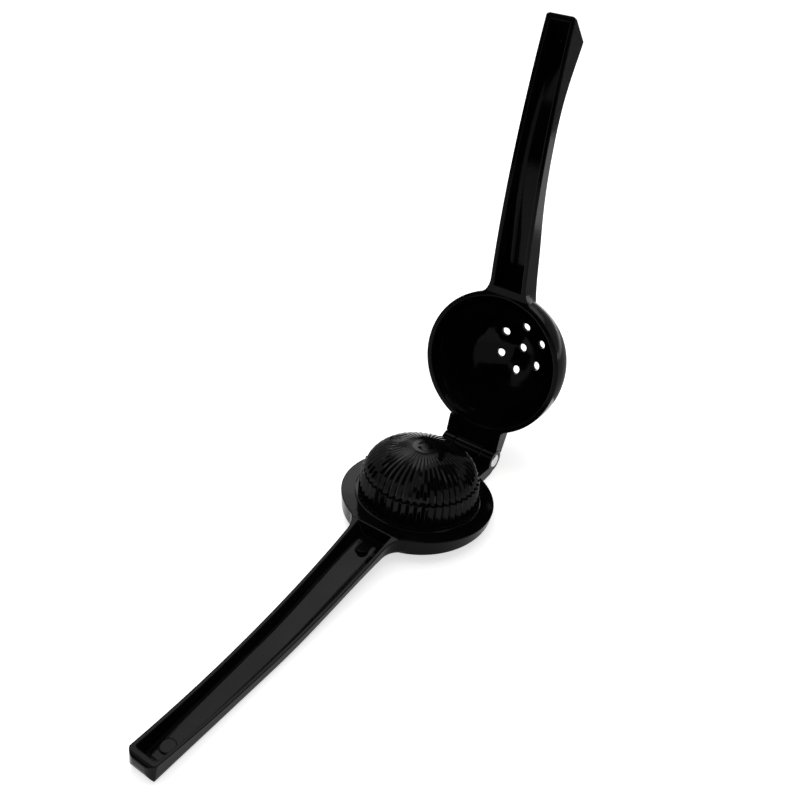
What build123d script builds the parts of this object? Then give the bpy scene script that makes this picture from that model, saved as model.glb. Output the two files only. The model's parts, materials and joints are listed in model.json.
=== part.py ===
import os
from math import acos, cos, degrees, pi, radians, sin, sqrt

from build123d import *

# All sizes in millimetres and degrees.
# Each lever is drawn closed: cup axis on Z, parting plane at z = 0, handle along +X, hinge at -X.

# Cups
bowl_radius = 34.4
bowl_wall = 2.3
bowl_depth = 36.2
bowl_upright = 3.0        # straight wall below the rim
bowl_floor = 2.3
disc_margin = 0.6         # disc outside the bowl
disc_plate = 2.6
disc_skirt = 3.0
disc_taper = 1.0          # radius lost from the disc's face to its lower edge
disc_clear = 5.9          # lower edge of the disc above the table
parting_gap = 0.3

# Juice holes
hole_radius = 2.05
hole_ring = 11.6
hole_count = 6

# Fluted press cup
flute_count = 48
flute_depth = 1.1
cup_gap = 4.7             # ridges to the bowl's mouth
foot_stand = 1.45         # foot outside the ridges
foot_height = 0.9
foot_edge = 0.5
shoulder_draw = 0.6       # taper of the wall tier
shoulder_height = 11.8
crown_step = 1.1          # crown inside the shoulder
crown_gap = 10.0          # top of the crown to the bowl's floor
crown_button = 5.6        # smooth top of the crown, radius
crown_edge = 5.2
crown_flat = 2.0
cup_wall = 2.8
spigot_wall = 2.2
hollow_upright = 7.1      # straight wall of the hollow over the disc's face
hollow_flat = 0.4         # depth of the flat taken off the hollow's top
seat_step = 1.8           # spigot inside the ridges
seat_depth = 3.4
seat_collar = 2.2
seat_fit = 0.02

# Hinge
hinge_stand = 12.0        # pin axis outside the disc
hinge_rise = 1.7          # pin axis above the parting plane
hinge_width = 28.4
ear_thickness = 6.6
ear_radius = 5.4
tongue_gap = 0.25
tongue_radius = 5.2
shoulder_gap = 0.6        # ears to the neck's shoulders
neck_height = 8.8
pin_radius = 3.3
pin_stand = 0.2
pin_chamfer = 0.4
pin_press_fit = 0.01
pin_run_fit = 0.08
bridge_face = 5.8         # stop face of the bridge, from the pin axis
stop_gap = 0.15
heel_drop = 2.4
table_drop = 6.5          # pin axis to the table
land_start = 2.0          # lands under the ears, from the pin axis
land_end = 8.5
ramp_run = 6.5
block_lap = 4.5           # clevis block inside the disc

# Handles, measured from the cup axis
rim_wall = 1.8
press_floor = 2.1
bowl_floor_depth = 2.3
press_channel_round = 1.4
bowl_channel_round = 2.4
press_root_draft = 3.4    # slope of the press channel's sides, at its root and its tip
press_tip_draft = 1.0
bowl_channel_draft = 0.7
press_length = 165.0
press_root_width = 21.0
press_tip_width = 13.6
press_rim_inset = 1.5     # start of the rim's slope inside the disc
press_drop = 18.0         # slope of the rim where it leaves the disc
press_bend = 410.0
press_draft = 0.9
press_round = 2.6
press_flat_start = 105.0
press_chord_inset = 1.0   # end of the channel inside the disc
bowl_length = 152.8
bowl_root_width = 18.4
bowl_tip_width = 12.9
bowl_rim_inset = 1.0
bowl_drop = 14.8
bowl_bend = 415.0
bowl_draft = 0.5
bowl_round = 1.8
bowl_tip_slant = 9.0
bowl_chord_stand = 2.6    # end of the channel outside the bowl
root_flare = 10.0         # plan radius where a handle runs into its cup
boss_radius = 2.8
boss_height = 1.3
boss_run = 8.0            # boss from the channel's end
rib_width = 4.6
rib_height = 1.0
pad_radius = 3.0
pad_height = 0.4
pad_inset = 13.0

# Pose
lie_angle = 6.5           # press disc to the table
open_angle = 97.0

# Back edge of the bowl handle: share of the way from rim start to tip, height over the rim plane
bowl_back = [(-0.01, 15.6), (0.09, 11.4), (0.19, 7.6), (0.29, 3.4), (0.39, -0.5), (0.49, -2.8),
             (0.59, -4.1), (0.69, -4.6), (0.78, -3.3), (0.87, -0.2), (0.94, 2.1), (1.04, 4.4)]

blank_over = 4.0          # height of a handle blank over its rim line
table_over = 0.3          # depth of the press handle blank below the table
press_end_wall = 3.0      # wall at the tip of a channel
press_end_slope = 4.5     # run of the press channel's sloping end
bowl_end_wall = 2.2
tip_run = 12.0            # stretch of a handle that its rounded tip is drawn on
press_tip_round = 4.4     # plan corners of the tips
press_nose_top = 1.6      # side corners of the press handle's tip
press_nose_low = 5.0
bowl_tip_round = 2.0
channel_tip_round = 2.0
end_rise = 20.0           # height that the slanted end of the bowl handle is drawn over its back edge
lap = 1.0                 # depth that joined forms run into each other
neck_lap = 2.0
button_sink = 0.1
corner_share = 0.94       # most of a wall or floor that a corner on it takes
# Stations of a handle's root, shares of its flare
root_steps = (-0.4, 0, 0.08, 0.18, 0.3, 0.45, 0.62, 0.8, 1)
run_steps = 10
far = 400.0

bowl_mouth = bowl_radius - bowl_wall
disc_radius = bowl_radius + disc_margin
cup_radius = bowl_mouth - cup_gap
foot_radius = cup_radius + foot_stand
shoulder_radius = cup_radius - shoulder_draw
crown_radius = shoulder_radius - crown_step
crown_height = bowl_depth - crown_gap
seat_radius = cup_radius - seat_step
hinge_reach = disc_radius + hinge_stand
shoulder_cut = ear_radius + shoulder_gap
press_rim_start = disc_radius - press_rim_inset
press_chord = disc_radius - press_chord_inset
bowl_rim_start = bowl_radius - bowl_rim_inset
bowl_chord = bowl_radius + bowl_chord_stand
boss_reach = press_chord + boss_run
tongue_half = hinge_width / 2 - ear_thickness - tongue_gap
pin_axis = Pos(-hinge_reach, 0, hinge_rise)
lie_sin = sin(radians(lie_angle))
lie_cos = cos(radians(lie_angle))


def level(x, height):
    # Height over the parting plane, at x, of a point this far above the table
    return hinge_rise - (table_drop - height + (hinge_reach + x) * lie_sin) / lie_cos


def rim_at(x, start, slope, bend):
    # Height of a rim that leaves the parting plane at start and bends level
    middle_x = start + bend * sin(radians(slope))
    middle_z = bend * cos(radians(slope))
    return middle_z - sqrt(bend ** 2 - (x - middle_x) ** 2)


def press_rim(x):
    return rim_at(max(x, press_rim_start), press_rim_start, press_drop, press_bend)


def bowl_rim(x):
    return parting_gap + rim_at(max(x, bowl_rim_start), bowl_rim_start, bowl_drop, bowl_bend)


def press_under(x):
    # Height of the press handle's uncut underside over the table
    share = (press_flat_start - x) / (press_flat_start - press_rim_start)
    share = min(max(share, 0), 1)
    return (disc_clear + table_over) * share ** 2 * (3 - 2 * share) - table_over


def side(outline, half_width):
    # Solid from an outline drawn in X and Z, equal on both sides of the lever's middle
    return extrude(Plane.XZ * make_face(outline), amount=half_width, both=True)


def across(radius, length):
    return pin_axis * Rot(90, 0, 0) * Cylinder(radius, length)


def taper(x, root, tip, start, length):
    return (root + (tip - root) * (x - start) / (length - start)) / 2


def root_span(radius, half_width):
    # Where the root of a handle leaves its cup and where it ends, on a plan arc that meets both in line
    root_end = sqrt((radius + root_flare) ** 2 - (half_width + root_flare) ** 2)
    return root_end * radius / (radius + root_flare), root_end


def flare(x, span):
    root_start, root_end = span
    into = min(max(root_end - x, 0), root_end - root_start)
    return root_flare - sqrt(root_flare ** 2 - into ** 2)


def press_half(x):
    return taper(x, press_root_width, press_tip_width, press_rim_start, press_length)


def press_draft_at(x):
    share = (x - press_chord) / (press_length - press_chord)
    return press_root_draft + (press_tip_draft - press_root_draft) * share


def bowl_half(x):
    return taper(x, bowl_root_width, bowl_tip_width, bowl_rim_start, bowl_length)


def rounded_end(length, half_width, corner):
    # Everything short of a handle's tip, with the tip's plan corners rounded
    cap = make_face(Polyline((length - 2 * tip_run, half_width), (length, half_width), (length, -half_width),
                             (length - 2 * tip_run, -half_width), close=True))
    cap = fillet(cap.vertices().group_by(Axis.X)[-1], corner)
    rest = Pos(length - tip_run - far, 0) * Rectangle(2 * far, far)
    return extrude(cap + rest, amount=far, both=True)


def section(x, half_width, rim, back, draft, corner):
    # Cross-section of a handle with its two back corners rounded
    foot = half_width - draft
    outline = make_face(Polyline((-half_width, rim), (half_width, rim), (foot, back), (-foot, back),
                                 close=True))
    rows = outline.vertices().group_by(Axis.Y)
    outline = fillet(rows[-1] if back > rim else rows[0], min(corner, corner_share * foot))
    return Plane(origin=(x, 0, 0), x_dir=(0, 1, 0), z_dir=(1, 0, 0)) * outline


def lobed(radius, depth, height):
    # Ring of pleated flutes: ridges on the radius, valleys inside it
    points = []
    for index in range(2 * flute_count):
        angle = index * pi / flute_count
        reach = radius - depth * (index % 2)
        points.append((reach * cos(angle), reach * sin(angle)))
    return Pos(0, 0, height) * make_face(Polyline(*points, close=True))


def dome(radius, height, base):
    # Half outline of a dome: a side arc upright at the base and a nose arc on the axis, in line
    nose = radius ** 2 / height
    flank = (radius ** 2 + (height - nose) ** 2 - nose ** 2) / (2 * (radius - nose))
    flank_at = Vector(radius - flank, base)
    nose_at = Vector(0, base + height - nose)
    small, small_at, big_at = (nose, nose_at, flank_at) if nose < flank else (flank, flank_at, nose_at)
    joint = small_at + (small_at - big_at).normalized() * small
    flank_half = (Vector(radius, base) + joint) * 0.5 - flank_at
    nose_half = (Vector(0, base + height) + joint) * 0.5 - nose_at
    return [ThreePointArc((radius, base), flank_at + flank_half.normalized() * flank, joint),
            ThreePointArc(joint, nose_at + nose_half.normalized() * nose, (0, base + height))]


def spun(outline):
    return revolve(Plane.XZ * make_face(outline), Axis.Z)


# Press lever: disc
disc_low = level(disc_radius, disc_clear) - lap
disc = spun(Polyline((seat_radius, 0), (disc_radius, 0), (disc_radius - disc_taper, disc_low),
                     (disc_radius - disc_skirt, disc_low), (disc_radius - disc_skirt, -disc_plate),
                     (seat_radius + seat_collar, -disc_plate), (seat_radius + seat_collar, disc_low),
                     (seat_radius, disc_low), close=True))
disc_floor = Polyline((-far, level(-far, disc_clear)), (far, level(far, disc_clear)), (far, far), (-far, far),
                      close=True)
disc = disc & side(disc_floor, far)

# Press lever: handle blank and channel
press_span = root_span(disc_radius, press_root_width / 2)
press_root = [press_span[0] + step * (press_span[1] - press_span[0]) for step in root_steps]
press_run_length = press_length + press_end_wall - press_span[1]
press_run = [press_span[1] + press_run_length * step / run_steps for step in range(run_steps + 1)]


def press_section(x):
    half = press_half(x) + flare(x, press_span)
    return section(x, half, press_rim(x) + blank_over, level(x, press_under(x)), press_draft, press_round)


def press_hollow(x):
    # The sides keep their slope above the rim, so that the channel is its full width at the rim
    floor = level(x, press_under(x) + press_floor)
    draft = press_draft_at(x)
    spread = draft * blank_over / (press_rim(x) - floor)
    return section(x, press_half(x) - rim_wall + spread, press_rim(x) + blank_over, floor, draft + spread,
                   press_channel_round)


press_blank = loft([press_section(x) for x in press_root], ruled=True)
press_blank = press_blank + loft([press_section(x) for x in press_run])
press_channel = loft([press_hollow(x) for x in [press_chord, press_run[0]]], ruled=True)
press_channel = press_channel + loft([press_hollow(x) for x in press_run])
press_middle = (press_rim_start + press_length) / 2
nose_x = press_length - press_nose_top
nose_z = press_rim(nose_x) - press_nose_top
tip_low = level(press_length, 0)
nose_low = min(press_nose_low, corner_share * (nose_z - tip_low))
heel_x = press_length - nose_low
heel_z = tip_low + nose_low
half_turn = sqrt(0.5)
press_trim = [Line((-far, 0), (press_rim_start, 0)),
              ThreePointArc((press_rim_start, 0), (press_middle, press_rim(press_middle)),
                            (nose_x, press_rim(nose_x))),
              ThreePointArc((nose_x, press_rim(nose_x)),
                            (nose_x + press_nose_top * half_turn, nose_z + press_nose_top * half_turn),
                            (press_length, nose_z)),
              Line((press_length, nose_z), (press_length, heel_z)),
              ThreePointArc((press_length, heel_z),
                            (heel_x + nose_low * half_turn, heel_z - nose_low * half_turn), (heel_x, tip_low)),
              Polyline((heel_x, tip_low), (heel_x, -far), (-far, -far), (-far, 0))]
seat_hole = Cylinder(seat_radius, far)
press_blank = press_blank & rounded_end(press_length, press_half(press_length - tip_run), press_tip_round)
press_end = press_length - press_end_wall
press_channel = press_channel & rounded_end(press_end, press_half(press_end - tip_run) - rim_wall,
                                            channel_tip_round)
end_low = level(press_length, press_floor)
end_high = press_rim(press_end)
end_grade = press_end_slope / (end_high - end_low)
slope_low = press_end - press_end_slope - lap * end_grade
slope_high = press_end + blank_over * end_grade
press_slope = Polyline((slope_low, -far), (slope_low, end_low - lap), (slope_high, end_high + blank_over),
                       (slope_high, far), (-far, far), (-far, -far), close=True)
press_channel = press_channel & side(press_slope, far)
press_lever = (disc + (press_blank - seat_hole) - press_channel) & side(press_trim, far)

# Press lever: boss with its rib by the disc, and the round pad by the tip
boss_floor = level(boss_reach, press_under(boss_reach) + press_floor)
boss = Pos(boss_reach, 0, boss_floor) * Cylinder(boss_radius, 2 * boss_height)
rib_run = boss_reach - press_chord + lap
rib = Pos(boss_reach - rib_run / 2, 0, boss_floor) * Box(rib_run, rib_width, 2 * rib_height)
pad_reach = press_length - pad_inset
pad_floor = level(pad_reach, press_under(pad_reach) + press_floor)
pad = Pos(pad_reach, 0, pad_floor) * Rot(0, lie_angle, 0) * Cylinder(pad_radius, 2 * pad_height)
press_lever = press_lever + boss + rib + pad

# Press lever: clevis of two ears on a bridge, standing on two lands
ear_x = -hinge_reach
ear_low = hinge_rise - ear_radius
block_end = ear_x + land_end + ramp_run
block_inside = block_end + block_lap
lands = [(ear_x + land_start, level(ear_x + land_start, 0)), (ear_x + land_end, level(ear_x + land_end, 0)),
         (block_end, level(block_end, disc_clear)), (block_inside, level(block_inside, disc_clear)),
         (block_inside, 0)]
ear_outline = make_face(Polyline((ear_x, 0), (ear_x, ear_low), *lands, close=True))
ear_outline = ear_outline + Pos(ear_x, hinge_rise) * Circle(ear_radius)
bridge_x = ear_x + bridge_face
bridge_outline = make_face(Polyline((bridge_x, 0), (bridge_x, level(bridge_x, 0)), *lands[1:], close=True))
ear_offset = (hinge_width - ear_thickness) / 2
ear = extrude(Plane.XZ * ear_outline, amount=ear_thickness / 2, both=True)
bridge = extrude(Plane.XZ * bridge_outline, amount=hinge_width / 2 - ear_thickness / 2, both=True)
clevis = bridge + Pos(0, ear_offset, 0) * ear + Pos(0, -ear_offset, 0) * ear
clevis = clevis - across(pin_radius + pin_press_fit, far)
press_lever = press_lever + clevis
table = Polyline((-far, level(-far, 0)), (far, level(far, 0)), (far, far), (-far, far), close=True)
press_lever = press_lever & side(table, far)

# Press cup: foot and spigot, two fluted tiers, button on the crown, hollow from below
foot = spun(Polyline((0, foot_height), (0, -seat_depth), (seat_radius - seat_fit, -seat_depth),
                     (seat_radius - seat_fit, 0), (foot_radius, 0), (foot_radius, foot_height - foot_edge),
                     (foot_radius - foot_edge, foot_height), close=True))
wall_tier = loft([lobed(cup_radius, flute_depth, foot_height / 2),
                  lobed(shoulder_radius, flute_depth, shoulder_height)], ruled=True)
crown_rise = crown_height - shoulder_height
crown_turn = degrees(acos(crown_button / crown_radius))
crown_rings = []
for share in (0, 0.2, 0.4, 0.6, 0.8, 1):
    turn = radians(share * crown_turn)
    crown_rings.append(lobed(crown_radius * cos(turn), flute_depth * cos(turn),
                             shoulder_height + crown_rise * sin(turn)))
crown_base = loft([Pos(0, 0, -lap) * crown_rings[0], crown_rings[0]], ruled=True)
crown_tier = crown_base + loft(crown_rings)
button_low = shoulder_height + crown_rise * sin(radians(crown_turn)) - button_sink
button = spun([Polyline((crown_flat, crown_height), (0, crown_height), (0, button_low),
                        (crown_edge, button_low)),
               RadiusArc((crown_edge, button_low), (crown_flat, crown_height), 2 * crown_button)])
hollow_radius = seat_radius - spigot_wall
hollow_round = crown_height - cup_wall - hollow_upright
hollow = spun([Polyline((0, crown_height - cup_wall), (0, -2 * seat_depth), (hollow_radius, -2 * seat_depth),
                        (hollow_radius, hollow_upright)),
               *dome(hollow_radius, hollow_round, hollow_upright)])
ceiling = Pos(0, 0, crown_height - cup_wall + far / 2 - hollow_flat) * Box(far, far, far)
press_cup = foot + wall_tier + crown_tier + button - (hollow - ceiling)

# Bowl lever: bowl
bowl_waist = parting_gap + bowl_upright
bowl_inside = spun([Polyline((0, parting_gap + bowl_depth), (0, -far), (bowl_mouth, -far),
                             (bowl_mouth, bowl_waist)),
                    *dome(bowl_mouth, bowl_depth - bowl_upright, bowl_waist)])
bowl_height = bowl_depth + bowl_floor
bowl_outside = spun([Polyline((0, parting_gap + bowl_height), (0, parting_gap), (bowl_radius, parting_gap),
                              (bowl_radius, bowl_waist)),
                     *dome(bowl_radius, bowl_height - bowl_upright, bowl_waist)])

# Bowl lever: handle blank and channel
bowl_reach = bowl_length - bowl_rim_start
bowl_span = root_span(bowl_radius, bowl_root_width / 2)
bowl_root = [bowl_span[0] + step * (bowl_span[1] - bowl_span[0]) for step in root_steps]


def back_at(x):
    # Height of the back edge of the bowl handle
    for (share, back), (next_share, next_back) in zip(bowl_back, bowl_back[1:]):
        low = bowl_rim_start + share * bowl_reach
        high = bowl_rim_start + next_share * bowl_reach
        if x <= high:
            return parting_gap + back + (next_back - back) * (x - low) / (high - low)
    return parting_gap + bowl_back[-1][1]


def bowl_section(x):
    spread = flare(x, bowl_span)
    return section(x, bowl_half(x) + spread, bowl_rim(x) - blank_over, back_at(x), bowl_draft + spread,
                   bowl_round)


def bowl_hollow(x):
    return section(x, bowl_half(x) - rim_wall, bowl_rim(x) - blank_over, back_at(x) - bowl_floor_depth,
                   bowl_channel_draft, bowl_channel_round)


bowl_run_length = bowl_rim_start + bowl_back[-1][0] * bowl_reach - bowl_span[1]
bowl_run = [bowl_span[1] + bowl_run_length * step / run_steps for step in range(run_steps + 1)]
bowl_blank = loft([bowl_section(x) for x in bowl_root], ruled=True)
bowl_blank = bowl_blank + loft([bowl_section(x) for x in bowl_run])
bowl_channel = loft([bowl_hollow(x) for x in [bowl_chord, bowl_run[0]]], ruled=True)
bowl_channel = bowl_channel + loft([bowl_hollow(x) for x in bowl_run])
bowl_middle = (bowl_rim_start + bowl_length) / 2
bowl_tip = (bowl_length, bowl_rim(bowl_length))
bowl_heel = bowl_length - bowl_tip_slant
tip_slope = (back_at(bowl_heel) - bowl_tip[1]) / bowl_tip_slant
end_top = (bowl_heel - end_rise / tip_slope, back_at(bowl_heel) + end_rise)
bowl_trim = [Line((-far, parting_gap), (bowl_rim_start, parting_gap)),
             ThreePointArc((bowl_rim_start, parting_gap), (bowl_middle, bowl_rim(bowl_middle)), bowl_tip),
             Polyline(bowl_tip, end_top, (end_top[0], far), (-far, far), (-far, parting_gap))]
end_inside = [(bowl_tip[0] - bowl_end_wall, bowl_tip[1]), (end_top[0] - bowl_end_wall, end_top[1])]
channel_end = Polyline((end_inside[0][0], -far), *end_inside, (-far, end_inside[1][1]), (-far, -far),
                       close=True)
bowl_channel = bowl_channel & side(channel_end, far)

# Bowl lever: neck with shoulders round the ears, tongue with the heel of the open stop
neck_x = -bowl_mouth
tongue_top = hinge_rise + tongue_radius
shoulder_x = ear_x + shoulder_cut
neck = side(Polyline((neck_x, parting_gap), (ear_x, parting_gap), (ear_x, tongue_top),
                     (shoulder_x - neck_lap, tongue_top), (neck_x, parting_gap + neck_height), close=True),
            hinge_width / 2)
neck = neck - across(shoulder_cut, far)
tongue_end = shoulder_x + neck_lap
tongue_outline = make_face(Polyline((tongue_end, parting_gap), (ear_x, parting_gap), (ear_x, tongue_top),
                                    (tongue_end, tongue_top), close=True))
tongue_outline = tongue_outline + Pos(ear_x, hinge_rise) * Circle(tongue_radius)
heel_reach = bridge_face - stop_gap
heel = Pos(ear_x, hinge_rise) * Rot(0, 0, -open_angle) * Pos(heel_reach / 2, -heel_drop / 2) * Rectangle(
    heel_reach, heel_drop)
tongue = extrude(Plane.XZ * (tongue_outline + heel), amount=tongue_half, both=True)
bowl_blank = bowl_blank & side(bowl_trim, far)
bowl_blank = bowl_blank & rounded_end(bowl_length, bowl_half(bowl_length - tip_run), bowl_tip_round)
bowl_lever = bowl_outside + bowl_blank - bowl_channel
bowl_lever = bowl_lever + neck + tongue - bowl_inside - across(pin_radius + pin_run_fit, far)
for index in range(hole_count):
    bowl_lever = bowl_lever - Rot(0, 0, index * 360 / hole_count) * Pos(hole_ring, 0, bowl_depth) * Cylinder(
        hole_radius, bowl_depth)
bowl_lever = bowl_lever - Pos(0, 0, bowl_depth) * Cylinder(hole_radius, bowl_depth)

# Hinge pin
pin_length = hinge_width + 2 * pin_stand
hinge_pin = Cylinder(pin_radius, pin_length)
hinge_pin = pin_axis * Rot(90, 0, 0) * chamfer(hinge_pin.edges().filter_by(GeomType.CIRCLE), pin_chamfer)

# Open pose on the table, centred over the origin
hinge_home = Rot(0, 0, 180) * Pos(hinge_reach, 0, -hinge_rise)
lying = Pos(0, 0, table_drop) * Rot(0, lie_angle, 0) * hinge_home
standing = Pos(0, 0, table_drop) * Rot(0, lie_angle + open_angle, 0) * hinge_home
placed = {"press_lever": lying * press_lever, "press_cup": lying * press_cup, "hinge_pin": lying * hinge_pin,
          "bowl_lever": standing * bowl_lever}
boxes = [shape.bounding_box() for shape in placed.values()]
middle_x = (min(box.min.X for box in boxes) + max(box.max.X for box in boxes)) / 2
centre = Pos(-middle_x, 0, 0)
os.makedirs("parts", exist_ok=True)
for name, shape in placed.items():
    shape = centre * shape
    print(name, shape.is_valid, len(shape.solids()), round(shape.volume), shape.bounding_box())
    export_step(shape, "parts/" + name + ".step")
print("pin axis", (centre * Pos(0, 0, table_drop)).position)
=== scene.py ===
import json
import math

import bpy
from mathutils import Matrix, Vector

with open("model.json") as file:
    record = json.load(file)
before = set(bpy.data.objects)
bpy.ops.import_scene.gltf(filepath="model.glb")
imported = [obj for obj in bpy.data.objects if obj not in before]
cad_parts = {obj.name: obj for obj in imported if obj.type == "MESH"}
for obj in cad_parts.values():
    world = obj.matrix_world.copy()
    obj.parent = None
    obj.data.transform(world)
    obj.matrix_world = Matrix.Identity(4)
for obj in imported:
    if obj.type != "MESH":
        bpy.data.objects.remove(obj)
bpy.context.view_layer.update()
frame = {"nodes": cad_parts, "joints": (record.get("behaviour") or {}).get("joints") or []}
scene = bpy.context.scene
scene.view_settings.view_transform = "Standard"
bpy.ops.object.select_all(action="DESELECT")
print("frame loaded:", sorted(frame["nodes"]))

millimetre = 0.001
hingeAt = Vector(frame["joints"][0]["pos_m"])  # the middle of the hinge pin


def linearColour(hexText):
    # sRGB hex to linear RGBA
    values = []
    for start in (1, 3, 5):
        share = int(hexText[start:start + 2], 16) / 255
        values.append(share / 12.92 if share <= 0.04045 else ((share + 0.055) / 1.055) ** 2.4)
    return (*values, 1.0)


def addNode(tree, kind, settings=None, links=None):
    # settings: an attribute by name, or an input by name or number; links: input to (node, output)
    node = tree.nodes.new(kind)
    for key, value in (settings or {}).items():
        if isinstance(key, str) and hasattr(node, key):
            setattr(node, key, value)
        else:
            node.inputs[key].default_value = value
    for key, (source, output) in (links or {}).items():
        tree.links.new(source.outputs[output], node.inputs[key])
    return node


def newMaterial(name):
    material = bpy.data.materials.new(name)
    material.use_nodes = True
    tree = material.node_tree
    tree.nodes.clear()
    output = addNode(tree, "ShaderNodeOutputMaterial")
    return material, tree, output


def dress(nodeName, material):
    # the CAD mesh keeps its shape: only its material slots change
    for slot in frame["nodes"][nodeName].material_slots:
        slot.material = material
    print(nodeName, "takes", material.name)


# Stoved black enamel on die-cast aluminium: deep black, a wet gloss that is a little uneven from the
# spray, faint orange peel, and a bright hairline where the paint rounds an edge
enamel = {
    "deep": "#030304",
    "thin": "#08080a",
    "deepAt": 0.35,                 # part of the drift where the tone goes from deep to thin
    "thinAt": 0.7,
    "specular": 0.06,
    "roughLow": 0.07,
    "roughHigh": 0.17,
    "roughFrom": 0.35,              # part of the drift where the roughness goes from low to high
    "roughTo": 0.65,
    "cloudSize": 14 * millimetre,   # drift of the spray
    "cloudDetail": 3.0,
    "peelSize": 1.3 * millimetre,   # orange peel
    "peelDetail": 1.0,
    "peelDepth": 0.012 * millimetre,
    "edgeRound": 0.75 * millimetre,
    "edgeSamples": 6,
}
# The same paint on the cup, with tighter rounds for its fine flutes and a little more gloss
cupEnamel = {
    **enamel,
    "specular": 0.09,
    "edgeRound": 0.35 * millimetre,
}


def makeEnamel(name, look):
    material, tree, output = newMaterial(name)
    place = addNode(tree, "ShaderNodeTexCoord")
    cloud = addNode(tree, "ShaderNodeTexNoise",
                    {"Scale": 1 / look["cloudSize"], "Detail": look["cloudDetail"]},
                    {"Vector": (place, "Object")})
    tone = addNode(tree, "ShaderNodeValToRGB", links={"Fac": (cloud, "Fac")})
    tone.color_ramp.elements[0].position = look["deepAt"]
    tone.color_ramp.elements[0].color = linearColour(look["deep"])
    tone.color_ramp.elements[1].position = look["thinAt"]
    tone.color_ramp.elements[1].color = linearColour(look["thin"])
    gloss = addNode(tree, "ShaderNodeMapRange",
                    {"From Min": look["roughFrom"], "From Max": look["roughTo"],
                     "To Min": look["roughLow"], "To Max": look["roughHigh"]},
                    {"Value": (cloud, "Fac")})
    peel = addNode(tree, "ShaderNodeTexNoise",
                   {"Scale": 1 / look["peelSize"], "Detail": look["peelDetail"]},
                   {"Vector": (place, "Object")})
    edge = addNode(tree, "ShaderNodeBevel", {"samples": look["edgeSamples"], "Radius": look["edgeRound"]})
    bump = addNode(tree, "ShaderNodeBump", {"Strength": 1.0, "Distance": look["peelDepth"]},
                   {"Height": (peel, "Fac"), "Normal": (edge, "Normal")})
    shader = addNode(tree, "ShaderNodeBsdfPrincipled", {"Specular IOR Level": look["specular"]},
                     {"Base Color": (tone, "Color"), "Roughness": (gloss, "Result"),
                      "Normal": (bump, "Normal")})
    tree.links.new(shader.outputs["BSDF"], output.inputs["Surface"])
    return material


# Turned mild steel: bright, with the lathe's rings on the two cut ends; the rings' relief is a bump, and the
# darker tone in their grooves is painted shade
pinSteel = {
    "bright": "#e4e3df",
    # painted shade: the darker tone painted into the lathe grooves
    "grooveShade": "#b9b8b4",
    "roughness": 0.24,
    "ringPitch": 0.4 * millimetre,   # a fine feed is nearer 0.1 mm, drawn coarser so that it shows
    "ringDepth": 0.02 * millimetre,
    "ringWander": 0.6,
    "ringDetail": 2.0,
    "waveLength": math.pi / 10,      # one wave of the texture at a scale of 1
}


def makePinSteel(name, look):
    material, tree, output = newMaterial(name)
    place = addNode(tree, "ShaderNodeTexCoord")
    centred = addNode(tree, "ShaderNodeMapping", {"Location": tuple(-hingeAt)}, {"Vector": (place, "Object")})
    rings = addNode(tree, "ShaderNodeTexWave",
                    {"wave_type": "RINGS", "rings_direction": "Y",
                     "Scale": look["waveLength"] / look["ringPitch"],
                     "Distortion": look["ringWander"], "Detail": look["ringDetail"]},
                    {"Vector": (centred, "Vector")})
    tone = addNode(tree, "ShaderNodeValToRGB", links={"Fac": (rings, "Fac")})
    # the ring tone runs from painted shade in the grooves to the steel's own bright tone
    tone.color_ramp.elements[0].color = linearColour(look["grooveShade"])
    tone.color_ramp.elements[1].color = linearColour(look["bright"])
    bump = addNode(tree, "ShaderNodeBump", {"Strength": 1.0, "Distance": look["ringDepth"]},
                   {"Height": (rings, "Fac")})
    shader = addNode(tree, "ShaderNodeBsdfPrincipled", {"Metallic": 1.0, "Roughness": look["roughness"]},
                     {"Base Color": (tone, "Color"), "Normal": (bump, "Normal")})
    tree.links.new(shader.outputs["BSDF"], output.inputs["Surface"])
    return material


leverPaint = makeEnamel("stovedBlackEnamel", enamel)
cupPaint = makeEnamel("stovedBlackEnamelFlutes", cupEnamel)
pinMetal = makePinSteel("turnedMildSteel", pinSteel)
dress("press_lever", leverPaint)
dress("bowl_lever", leverPaint)
dress("press_cup", cupPaint)
dress("hinge_pin", pinMetal)

# Camera: worked out round the hinge pin, with the press disc level, then tilted with it
view = {
    "azimuth": -149.724,
    "elevation": 29.673,
    "roll": 7.781,
    "distance": 444.576 * millimetre,
    "discTilt": 6.5,                  # press disc to the table
    "pinPixel": (469.772, 449.64),    # where the pin's middle falls in the picture
    "pictureSize": 800,
    "focalPixels": 900,
    "sensor": 36.0,
    "nearest": 10 * millimetre,
}


def placeCamera(look):
    azimuth = math.radians(look["azimuth"])
    elevation = math.radians(look["elevation"])
    roll = math.radians(look["roll"])
    towards = Vector((math.cos(elevation) * math.cos(azimuth), math.cos(elevation) * math.sin(azimuth),
                      math.sin(elevation)))
    level = Vector((-math.sin(azimuth), math.cos(azimuth), 0))
    upright = towards.cross(level)
    right = level * math.cos(roll) + upright * math.sin(roll)
    up = upright * math.cos(roll) - level * math.sin(roll)
    metresPerPixel = look["distance"] / look["focalPixels"]
    middle = look["pictureSize"] / 2
    across = (look["pinPixel"][0] - middle) * metresPerPixel
    down = (look["pinPixel"][1] - middle) * metresPerPixel
    spot = towards * look["distance"] - right * across + up * down
    axes = Matrix((right, up, towards)).transposed().to_4x4()
    tilt = Matrix.Rotation(math.radians(look["discTilt"]), 4, "Y")
    data = bpy.data.cameras.new("camera")
    data.sensor_width = look["sensor"]
    data.lens = look["sensor"] * look["focalPixels"] / look["pictureSize"]
    data.clip_start = look["nearest"]
    camera = bpy.data.objects.new("camera", data)
    scene.collection.objects.link(camera)
    camera.matrix_world = Matrix.Translation(hingeAt) @ tilt @ Matrix.Translation(spot) @ axes
    scene.camera = camera
    print("camera at", [round(value, 3) for value in camera.matrix_world.translation])


placeCamera(view)

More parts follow.
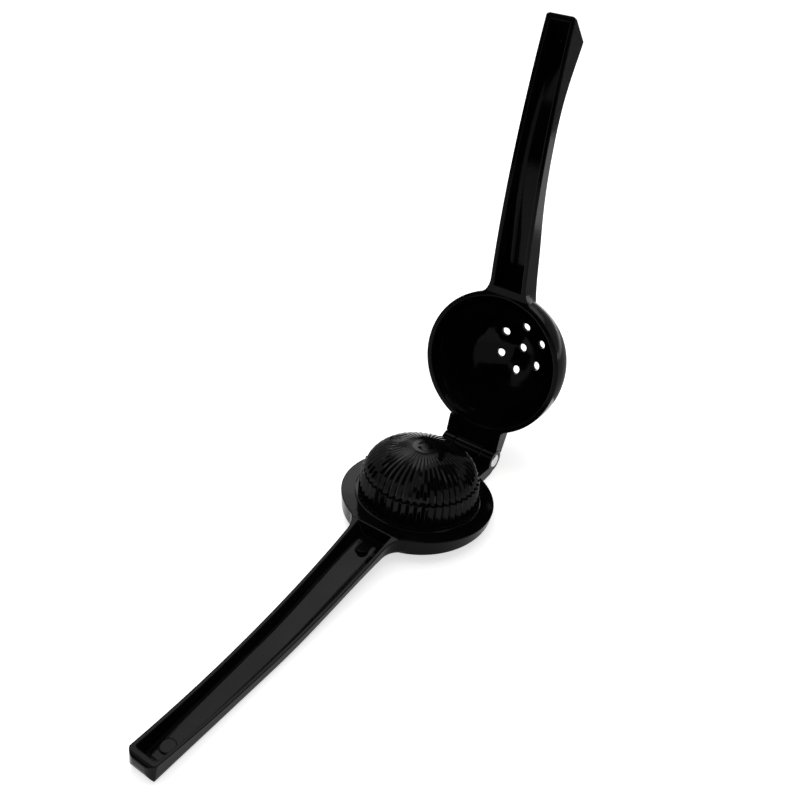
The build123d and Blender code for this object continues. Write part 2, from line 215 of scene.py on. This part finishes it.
# Table top of matt white laminate, and a white room round it
studio = {
    "floorSize": 14.0,
    "floorWhite": "#f2f2f1",
    "floorLift": 0.62,      # glow that takes the unshaded table to white
    "roomWhite": "#ffffff",
    "roomLight": 0.44,      # share of the room's white that falls on things
}


def seenRays(tree):
    # 1 for what the lens, a gloss or a glass sees, 0 for the light that falls on things
    path = addNode(tree, "ShaderNodeLightPath")
    gloss = addNode(tree, "ShaderNodeMath", {"operation": "MAXIMUM"},
                    {0: (path, "Is Camera Ray"), 1: (path, "Is Glossy Ray")})
    return addNode(tree, "ShaderNodeMath", {"operation": "MAXIMUM"},
                   {0: (gloss, "Value"), 1: (path, "Is Transmission Ray")})


def makeFloor(look):
    bpy.ops.mesh.primitive_plane_add(size=look["floorSize"], location=(0, 0, 0))
    floor = bpy.context.active_object
    floor.name = "tableTop"
    material, tree, output = newMaterial("mattWhiteLaminate")
    seen = seenRays(tree)
    lift = addNode(tree, "ShaderNodeMath", {"operation": "MULTIPLY", 1: look["floorLift"]},
                   {0: (seen, "Value")})
    matt = addNode(tree, "ShaderNodeBsdfDiffuse", {"Color": linearColour(look["floorWhite"])})
    glow = addNode(tree, "ShaderNodeEmission", links={"Strength": (lift, "Value")})
    both = addNode(tree, "ShaderNodeAddShader", links={0: (matt, "BSDF"), 1: (glow, "Emission")})
    tree.links.new(both.outputs["Shader"], output.inputs["Surface"])
    floor.data.materials.append(material)
    print("table top")


def makeRoom(look):
    world = bpy.data.worlds.new("whiteRoom")
    world.use_nodes = True
    tree = world.node_tree
    tree.nodes.clear()
    seen = seenRays(tree)
    level = addNode(tree, "ShaderNodeMapRange", {"To Min": look["roomLight"], "To Max": 1.0},
                    {"Value": (seen, "Value")})
    back = addNode(tree, "ShaderNodeBackground", {"Color": linearColour(look["roomWhite"])},
                   {"Strength": (level, "Result")})
    output = addNode(tree, "ShaderNodeOutputWorld")
    tree.links.new(back.outputs["Background"], output.inputs["Surface"])
    scene.world = world
    print("white room")


makeFloor(studio)
makeRoom(studio)

# Soft boxes: place, aim, size and power
softBoxes = {
    "overhead": {"at": (0.05, 0.1, 0.95), "aim": (0.02, 0, 0.05), "size": (0.9, 0.9), "watts": 2.6},
    "gloss": {"at": (0.5, 0.45, 0.68), "aim": (-0.02, 0, 0), "size": (0.66, 0.68), "watts": 3.8},
}


def addSoftBox(name, look):
    data = bpy.data.lights.new(name, "AREA")
    data.shape = "RECTANGLE"
    data.size, data.size_y = look["size"]
    data.energy = look["watts"]
    lamp = bpy.data.objects.new(name, data)
    scene.collection.objects.link(lamp)
    lamp.location = look["at"]
    aim = Vector(look["aim"]) - Vector(look["at"])
    lamp.rotation_euler = aim.to_track_quat("-Z", "Y").to_euler()
    print("soft box", name)


for boxName, boxLook in softBoxes.items():
    addSoftBox(boxName, boxLook)

# Studio cards that only the gloss sees, to keep the white room out of parts of it: place, aim, size, board
cards = {
    "right": {"at": (0.25, -0.52, 0.2), "aim": (-0.05, 0, 0.02), "size": (0.66, 0.44), "board": "black"},
    "left": {"at": (-0.6, 0.32, 0.22), "aim": (0.1, 0, 0.15), "size": (0.5, 0.44), "board": "black"},
    "top": {"at": (-0.1, -0.08, 0.56), "aim": (0.03, 0, 0.03), "size": (0.7, 0.7), "board": "black"},
    # across the lower half of the gloss soft box
    "gloss": {"at": (0.518, 0.466, 0.585), "aim": (-0.002, 0.016, -0.095), "size": (0.68, 0.23),
              "board": "black"},
    "backLeft": {"at": (0.445, 0.44, 0.1), "aim": (0.04, 0, 0.04), "size": (0.4, 0.2), "board": "black"},
    "backRight": {"at": (0.53, -0.27, 0.08), "aim": (0.13, 0, 0.13), "size": (0.4, 0.16), "board": "grey"},
    "back": {"at": (0.62, 0, 0.08), "aim": (0.1, -0.03, 0.08), "size": (0.34, 0.2), "board": "grey"},
    # flat on the table
    "low": {"at": (0.255, -0.09, 0.004), "aim": (0.255, -0.09, 1), "size": (0.22, 0.2), "board": "grey"},
}


def makeCardboard(name, colour):
    material, tree, output = newMaterial(name)
    matt = addNode(tree, "ShaderNodeBsdfDiffuse", {"Color": linearColour(colour)})
    tree.links.new(matt.outputs["BSDF"], output.inputs["Surface"])
    return material


def addCard(name, look, material):
    bpy.ops.mesh.primitive_plane_add(size=1, location=look["at"])
    card = bpy.context.active_object
    card.name = name + "Card"
    card.scale = (*look["size"], 1)
    aim = Vector(look["aim"]) - Vector(look["at"])
    card.rotation_euler = aim.to_track_quat("Z", "Y").to_euler()
    card.visible_camera = False
    card.visible_diffuse = False
    card.visible_shadow = False
    card.data.materials.append(material)
    print("card", name)


# Matt printed cardboard
boards = {
    "black": makeCardboard("mattBlackCardboard", "#050505"),
    "grey": makeCardboard("mattGreyCardboard", "#959595"),
}
for cardName, cardLook in cards.items():
    addCard(cardName, cardLook, boards[cardLook["board"]])
